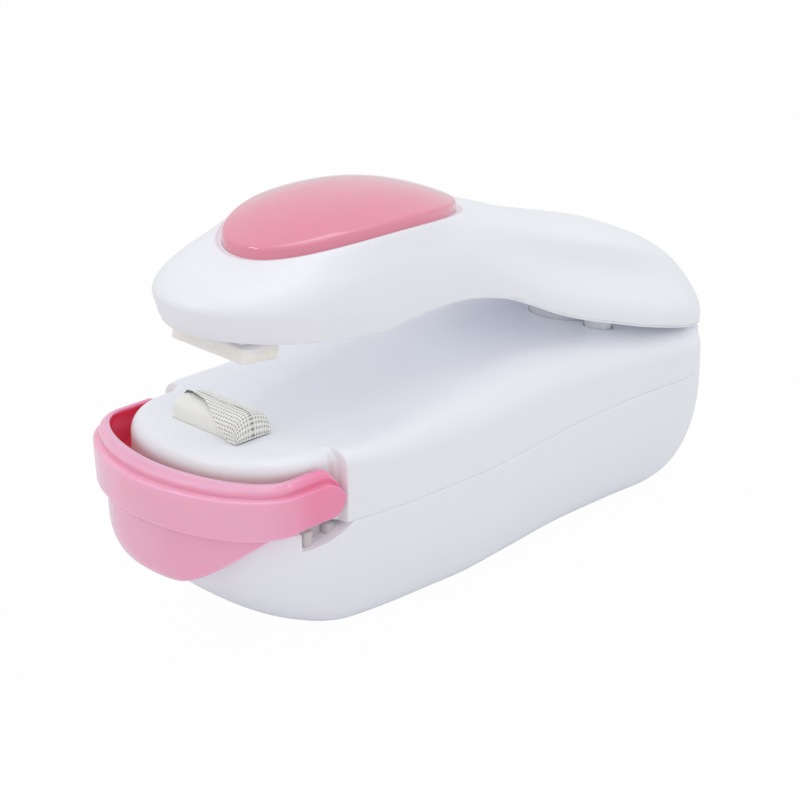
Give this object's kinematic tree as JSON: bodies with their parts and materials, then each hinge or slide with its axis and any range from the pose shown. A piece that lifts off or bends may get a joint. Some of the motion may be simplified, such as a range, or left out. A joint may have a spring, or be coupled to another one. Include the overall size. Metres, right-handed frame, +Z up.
{
  "type": "mini bag sealer",
  "caption": "Palm-sized battery-driven heat sealer for snack bags, with a sprung pressing arm, a heated bar on the nose and a hinged safety guard.",
  "frame": {"origin": "centre of the bounding box in plan, on the plane the sealer rests on", "axes": "+Z up, the nose with the heater and the guard towards -Y, the hinge of the arm towards +Y, X = 0 the plane of symmetry"},
  "size_m": [0.04, 0.1024, 0.0575],
  "materials": {
    "white_shell": "gloss",
    "white_inner": "satin",
    "pink_guard": "gloss, slightly translucent",
    "pink_pad": "gloss",
    "silicone_pad": "satin",
    "heater_body": "satin",
    "woven_cloth": "coated glass weave",
    "spring_steel": "bright",
    "contact_brass": "bright",
    "cell_wrap": "plain printed sleeve",
    "lead_sleeve": "satin"
  },
  "bodies": {
    "base": {"base_lower_shell": "white_shell", "base_upper_shell": "white_shell", "battery_cell_left": "cell_wrap", "battery_cell_right": "cell_wrap", "battery_contact_front": "spring_steel", "battery_contact_rear_left": "spring_steel", "battery_contact_rear_right": "spring_steel", "battery_spring_front": "spring_steel", "battery_spring_rear": "spring_steel", "heater_block": "heater_body", "heating_wire": "spring_steel", "glass_cloth": "woven_cloth", "heater_terminal_left": "contact_brass", "heater_terminal_right": "contact_brass", "heater_lead_left": "lead_sleeve", "heater_lead_right": "lead_sleeve", "switch_strip_battery": "contact_brass", "switch_strip_heater": "contact_brass", "hinge_pin": "spring_steel", "return_spring": "spring_steel", "base_screw_front_left": "spring_steel", "base_screw_front_right": "spring_steel", "base_screw_rear": "spring_steel"},
    "arm": {"arm_cover": "white_shell", "arm_underplate": "white_inner", "thumb_pad": "pink_pad", "pressure_pad": "silicone_pad", "arm_screw_left": "spring_steel", "arm_screw_right": "spring_steel", "arm_screw_rear": "spring_steel"},
    "guard": {"guard": "pink_guard"},
    "battery_door": {"battery_door": "white_shell"},
    "switch": {"switch_plunger": "white_inner", "switch_bridge_disc": "contact_brass"}
  },
  "joints": [
    {"name": "arm_hinge", "type": "hinge", "parent": "base", "child": "arm", "pos_m": [0, 0.042, 0.0282], "axis": [1, 0, 0], "range_deg": [0, 5.4], "stiffness_Nm_per_rad": 0.12, "springref_deg": -11.46, "deforming": ["return_spring"]},
    {"name": "guard_pivot", "type": "hinge", "parent": "base", "child": "guard", "pos_m": [0, -0.034, 0.0223], "axis": [-1, 0, 0], "range_deg": [0, 25]},
    {"name": "battery_door_lift", "type": "slide", "parent": "base", "child": "battery_door", "axis": [0, 0, -1], "range_m": [0, 0.03]},
    {"name": "switch_press", "type": "slide", "parent": "base", "child": "switch", "axis": [0, 0, -1], "range_m": [0, 0.00105]}
  ],
  "couplings": [
    {"joint": "switch_press", "follows": "arm_hinge", "m_per_rad": 0.011}
  ]
}
